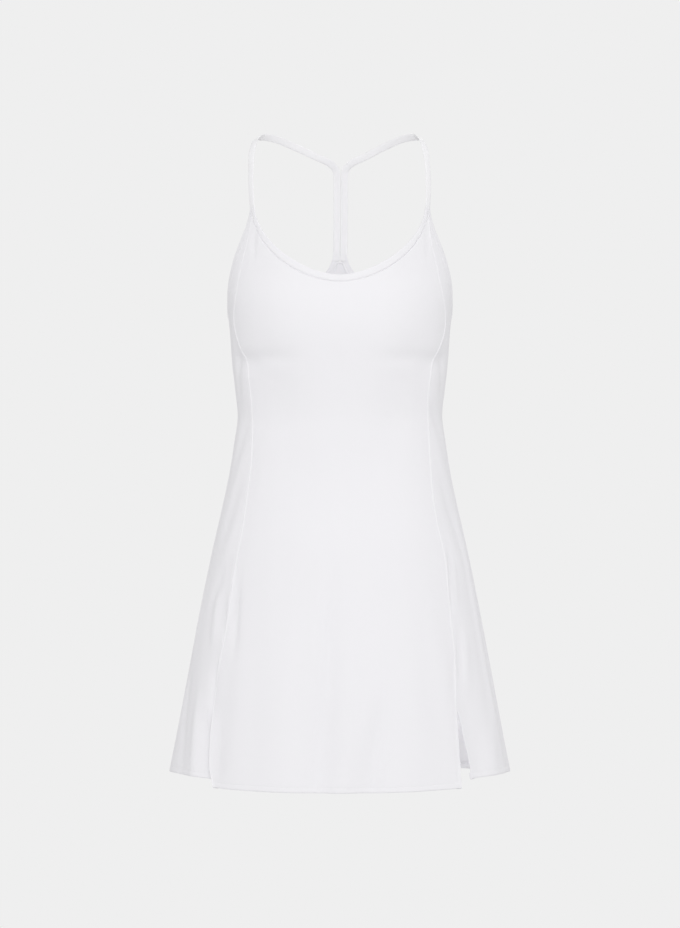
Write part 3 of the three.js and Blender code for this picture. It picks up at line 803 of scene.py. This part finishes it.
def armholeLines(side, count):
    share = evenShares(armholeEdge, count)
    turn, z = armholeEdge(share)
    seamTurn, seamZ = armholeInside(share, np.full(count, bindingWidth))
    seamZ = np.where(share < 0.5, np.minimum(seamZ, strapEnd), np.minimum(seamZ, backStrapEnd))
    limit = frontSeamTurn(side, "side", seamZ) + bindingMake["edgeClear"]
    seamTurn = np.clip(seamTurn, limit, bindingMake["backMeeting"])
    return (side * turn, z), (side * seamTurn, seamZ)


armholeBindings, armholeRuns = {}, {}
for name, side in sides.items():
    armholeRuns[name] = armholeLines(side, bindingMake["armholeStations"])
    armholeBindings[name] = sweptPiece(
        f"armhole_binding_{name}", bindingPoints(*armholeRuns[name], 1.1 * side), jersey,
        f"armhole_binding_{name}")

# Straps: x on the left and right, y, z, and the way that the face looks: outward, back, up
strapRoute = np.array([
    (108.2, 108.2, -58.6, -91.1, 0.8, -0.58, 0.12), (109.6, 109.3, -54.5, -70, 0.74, -0.65, 0.15),
    (110, 108.5, -46, -42, 0.7, -0.6, 0.4), (109, 106, -31, -19, 0.5, -0.5, 0.7),
    (104.5, 101, -13, -3.6, 0.35, 0.1, 0.9), (95, 92, 6, 0.8, 0.3, 0.92, 0.3),
    (80, 77, 26, -0.3, 0, 1, 0.02), (53, 52, 50, -9.6, 0, 1, -0.08),
    (30, 32, 64, -19, 0, 1, -0.05), (12, 14, 73, -27, 0, 0.98, 0.15),
    (4.9, 6.9, 77.5, -35, 0, 0.98, 0.2), (3.8, 5.8, 80, -46, 0, 0.98, 0.2),
    (3.8, 5.7, 86.5, -85, 0, 0.98, 0.18), (4.1, 5.3, 91.5, -118, 0, 0.99, 0.12),
    (4.4, 4.9, 94.2, -141.7, 0, 0.99, 0.1),
])
strapMake = {
    "width": 9, "thick": 1.7, "edgeRound": 0.75, "faceRound": 0.85,
    "points": 20, "stations": 260, "fineSteps": 4000,
    "tuckLength": 8, "tuckDepth": 0.3, "tuckThin": 0.42, "tuckBend": 3, "bendShare": 0.95,
    "thinBefore": 2, "fullAfter": 1.5,
}


# A centripetal curve through points, as shares of the way from one point to the next
def throughPoints(points, place):
    i = np.minimum(place.astype(int), len(points) - 2)
    start, end = points[i], points[i + 1]
    before = np.where(i[:, None] > 0, points[np.maximum(i - 1, 0)], 2 * start - end)
    beyond = points[np.minimum(i + 2, len(points) - 1)]
    after = np.where(i[:, None] < len(points) - 2, beyond, 2 * end - start)
    back, here, on = (
        np.sqrt(np.linalg.norm(b - a, axis=1, keepdims=True))
        for a, b in ((before, start), (start, end), (end, after)))
    leave = ((start - before) / back - (end - before) / (back + here) + (end - start) / here) * here
    arrive = ((end - start) / here - (after - start) / (here + on) + (after - end) / on) * here
    return hermite(start, end, leave, arrive, (place - i)[:, None])


def strapPoints(side):
    route = np.stack([side * strapRoute[:, 0 if side < 0 else 1], strapRoute[:, 2], strapRoute[:, 3]], axis=1)
    facing = unit(strapRoute[:, 4:7] * (side, 1, 1))
    # Each end runs on behind the cloth that it is sewn to
    length, deep = strapMake["tuckLength"], strapMake["tuckDepth"]
    for first in (True, False):
        end, inner, look = (route[0], route[1], facing[0]) if first else (route[-1], route[-2], facing[-1])
        onward = unit(end - inner)
        bend = end + onward * strapMake["tuckBend"] - look * deep * strapMake["bendShare"]
        added = [bend, end + onward * length - look * deep]
        route = np.concatenate([added[::-1], route] if first else [route, added])
        facing = np.concatenate([[look] * 2, facing] if first else [facing, [look] * 2])
    fine = np.linspace(0, len(route) - 1, strapMake["fineSteps"])
    run = lengthsAlong(throughPoints(route, fine), 0, 0)
    along = np.linspace(0, run[-1], strapMake["stations"])
    place = np.interp(along, run, fine)
    line = throughPoints(route, place)
    i = np.minimum(place.astype(int), len(route) - 2)
    look = mix(facing[i], facing[i + 1], smooth(place - i, 0, 1)[:, None])
    forward = unit(np.gradient(line, axis=0))
    sideways = unit(np.cross(forward, look))
    outward = unit(np.cross(sideways, forward))
    angle = 2 * math.pi * np.arange(strapMake["points"]) / strapMake["points"]
    across = signedPower(np.cos(angle), strapMake["edgeRound"]) * strapMake["width"] / 2
    height = signedPower(np.sin(angle), strapMake["faceRound"]) * strapMake["thick"] / 2
    fromEnd = np.minimum(along, np.linspace(run[-1], 0, strapMake["stations"]))
    grown = smooth(fromEnd, length - strapMake["thinBefore"], length + strapMake["fullAfter"])
    thin = mix(strapMake["tuckThin"], 1, grown)
    height = (thin[:, None] * height)[..., None]
    return line[:, None] + sideways[:, None] * across[None, :, None] + outward[:, None] * height


for name, side in sides.items():
    sweptPiece(f"strap_{name}", strapPoints(side), tape, f"strap_{name}")


# Stitches: short grains of thread, each row one piece. They are roughly half sunk into the cloth at the
# hems and slits, and lie up to 0.24 mm clear of it on the bindings and at the top of the left slit

stitchMake = {
    "length": 2.5, "gap": 0.7, "radius": 0.24, "aboveHem": 6.5, "besideSlit": 6.2,
    "hemHeight": -0.15, "slitHeight": 0.02, "bindingShare": 0.84, "bindingHeight": 0.62,
    "hemFrom": 0.01, "slitFrom": -2, "hemSteps": 160, "slitSteps": 60,
}


def pointAt(distance, run, line):
    return Vector([np.interp(distance, run, line[:, axis]) for axis in range(3)])


def stitchRow(name, runs):
    mesh = bmesh.new()
    mesh.loops.layers.uv.new("cloth")
    long, gap, radius = (stitchMake[key] for key in ("length", "gap", "radius"))
    for turn, z, height in runs:
        line, normals = onCloth(turn, z, height), skinNormal(turn, z)
        run = lengthsAlong(line, 0, 0)
        for middle in np.arange(long / 2, run[-1] - long / 2, long + gap):
            start, end = pointAt(middle - long / 2, run, line), pointAt(middle + long / 2, run, line)
            out = pointAt(middle, run, normals).normalized()
            forward = (end - start).normalized()
            sideways = out.cross(forward).normalized()
            turned = Matrix((forward * long / 2, sideways * radius, out * radius)).transposed().to_4x4()
            place = Matrix.Translation((start + end) / 2 * mm) @ (turned * mm).to_3x3().to_4x4()
            bmesh.ops.create_icosphere(mesh, subdivisions=1, radius=1, matrix=place)
    for face in mesh.faces:
        face.smooth = True
    piece = addPiece(name, mesh, thread)
    print(name, "made,", len(piece.data.polygons), "faces")
    return piece


def besideSeam(edge, seam):
    share = stitchMake["bindingShare"]
    return mix(edge[0], seam[0], share), mix(edge[1], seam[1], share), stitchMake["bindingHeight"]


def hemRun(first, last, hemOf, liftOf=None):
    share = np.linspace(stitchMake["hemFrom"], 1 - stitchMake["hemFrom"], stitchMake["hemSteps"])
    z = hemOf(share) + stitchMake["aboveHem"]
    turn = mix(first(z), last(z), share)
    lift = liftOf(turn, z) if liftOf else 0
    return turn, z, stitchMake["hemHeight"] + lift


def slitRun(side, part, towards):
    edge = hem["frontEdge"] if part == "front" else hem["sideEdge"]
    first, last = slitTop + stitchMake["slitFrom"], edge + stitchMake["aboveHem"]
    z = np.linspace(first, last, stitchMake["slitSteps"])
    turn = frontSeamTurn(side, part, z)
    turn = turn + towards * stitchMake["besideSlit"] / sectionRadius(turn, z) / degree
    return side * turn, z, stitchMake["slitHeight"] + lapLift(part, side, side * turn, z)


neckStitches = stitchRow("neck_stitches", [besideSeam(neckEdge, neckSeam)])
armholeStitches = {
    name: stitchRow(f"armhole_stitches_{name}", [besideSeam(*armholeRuns[name])]) for name in sides
}
hemStitches = {
    "front": stitchRow("hem_stitches_front", [
        hemRun(*frontEdges, frontHem, frontLap), slitRun(-1, "front", -1), slitRun(1, "front", -1)]),
    "left": stitchRow("hem_stitches_left", [
        hemRun(princessTurn(-1, "side"), backSeam(-1, -1), sideHem,
               lambda turn, z: lapLift("side", -1, turn, z)),
        slitRun(-1, "side", 1)]),
    "right": stitchRow("hem_stitches_right", [
        hemRun(princessTurn(1, "side"), backSeam(1, -1), sideHem), slitRun(1, "side", 1)]),
    "back": stitchRow("hem_stitches_back", [hemRun(backSeam(1, 1), farBackSeam, backHem)]),
}
# Stage, light and camera

studio = {
    "backdrop": 0.863, "floorHeight": -1.40, "floorRadius": 2.6, "floorTone": 0.82,
    "floorFades": (0.25, 0.95),
    "worldTop": 0.69, "worldFoot": 0.68,
    "camera": {"distance": 4.6, "height": -0.4081, "lens": 36 * 4.6 / 1.16},
    "lights": {
        "frontSoftbox": {"place": (0, -4.2, 0.2), "aim": (0, 0, -0.4), "size": 3.0, "power": 42},
        "highSoftbox": {"place": (0, -3.2, 2.6), "aim": (0, 0, -0.4), "size": 2.2, "power": 21},
        "leftSoftbox": {"place": (-3.2, -0.6, 1.6), "aim": (0, 0, -0.4), "size": 2.4, "power": 7},
        "rightSoftbox": {"place": (3.2, -0.6, 1.6), "aim": (0, 0, -0.4), "size": 2.4, "power": 11},
        "backSoftbox": {"place": (0.8, 3.4, 1.8), "aim": (0, 0, -0.4), "size": 2.2, "power": 30},
        "insideSkirt": {"place": (0.03, -0.01, -0.66), "aim": (0.14, 0.1, -0.7), "size": 0.1, "power": 0.11},
        "insideTop": {"place": (0, 0, -0.24), "aim": (0, 0.1, -0.16), "size": 0.06, "power": 0.014},
    },
}


def makeWorld():
    world = bpy.data.worlds.new("studioAir")
    world.use_nodes = True
    tree = world.node_tree
    tree.nodes.clear()
    start = Wire(tree)
    direction = start.node("ShaderNodeTexCoord", output=0)
    up = start.node("ShaderNodeSeparateXYZ", inputs={0: direction}, output=2)
    level = (up * 0.5 + 0.5) * (studio["worldTop"] - studio["worldFoot"]) + studio["worldFoot"]
    seen = start.node("ShaderNodeLightPath", output=0)
    strength = seen * studio["backdrop"] + (1 - seen) * level
    sky = tree.nodes.new("ShaderNodeBackground")
    sky.inputs[0].default_value = (1, 1, 1, 1)
    tree.links.new(strength.socket, sky.inputs[1])
    output = tree.nodes.new("ShaderNodeOutputWorld")
    tree.links.new(sky.outputs[0], output.inputs[0])
    bpy.context.scene.world = world


# The floor is plain near the dress and fades into the backdrop's tone; it casts no light back, and isn't
# there from below
def makeFloor():
    mesh = bmesh.new()
    bmesh.ops.create_circle(mesh, cap_ends=True, segments=96, radius=studio["floorRadius"],
                            matrix=Matrix.Translation((0, 0, studio["floorHeight"])))
    data = bpy.data.meshes.new("studioFloor")
    mesh.to_mesh(data)
    mesh.free()
    floor = bpy.data.objects.new("studioFloor", data)
    bpy.context.scene.collection.objects.link(floor)
    material = bpy.data.materials.new("paleFloor")
    material.use_nodes = True
    tree = material.node_tree
    tree.nodes.clear()
    start = Wire(tree)
    place = start.node("ShaderNodeTexCoord", output=3)
    x, y = (start.node("ShaderNodeSeparateXYZ", inputs={0: place}, output=axis) for axis in (0, 1))
    away = (x * x + y * y) ** 0.5 / studio["floorRadius"]
    near, far = studio["floorFades"]
    fade = start.node("ShaderNodeMapRange", {"interpolation_type": "SMOOTHSTEP"}, {0: away, 1: near, 2: far})
    behind = start.node("ShaderNodeNewGeometry", output=6)
    plain = tree.nodes.new("ShaderNodeBsdfDiffuse")
    plain.inputs[0].default_value = (studio["floorTone"],) * 3 + (1,)
    glow = tree.nodes.new("ShaderNodeEmission")
    glow.inputs[0].default_value = (studio["backdrop"],) * 3 + (1,)
    clear = tree.nodes.new("ShaderNodeBsdfTransparent")
    surface = start.node("ShaderNodeMixShader", inputs={
        0: fade, 1: Wire(tree, plain.outputs[0]), 2: Wire(tree, glow.outputs[0])})
    seen = start.node("ShaderNodeLightPath", output=0)
    shown = start.node("ShaderNodeMixShader", inputs={
        0: seen * (1 - behind), 1: Wire(tree, clear.outputs[0]), 2: surface})
    output = tree.nodes.new("ShaderNodeOutputMaterial")
    tree.links.new(shown.socket, output.inputs[0])
    data.materials.append(material)


def makeLights():
    for name, light in studio["lights"].items():
        data = bpy.data.lights.new(name, "AREA")
        data.shape, data.size, data.energy = "SQUARE", light["size"], light["power"]
        lamp = bpy.data.objects.new(name, data)
        lamp.location = light["place"]
        lamp.visible_camera = False
        aim = Vector(light["aim"]) - lamp.location
        lamp.rotation_euler = aim.to_track_quat("-Z", "Y").to_euler()
        bpy.context.scene.collection.objects.link(lamp)


def makeCamera():
    settings = studio["camera"]
    data = bpy.data.cameras.new("photographView")
    data.lens, data.sensor_width, data.sensor_fit = settings["lens"], 36, "AUTO"
    camera = bpy.data.objects.new("photographView", data)
    camera.location = (0, -settings["distance"], settings["height"])
    camera.rotation_euler = (math.pi / 2, 0, 0)
    bpy.context.scene.collection.objects.link(camera)
    bpy.context.scene.camera = camera


makeWorld()
makeFloor()
makeLights()
makeCamera()
bpy.context.scene.view_settings.view_transform = "Standard"
print("studio ready")
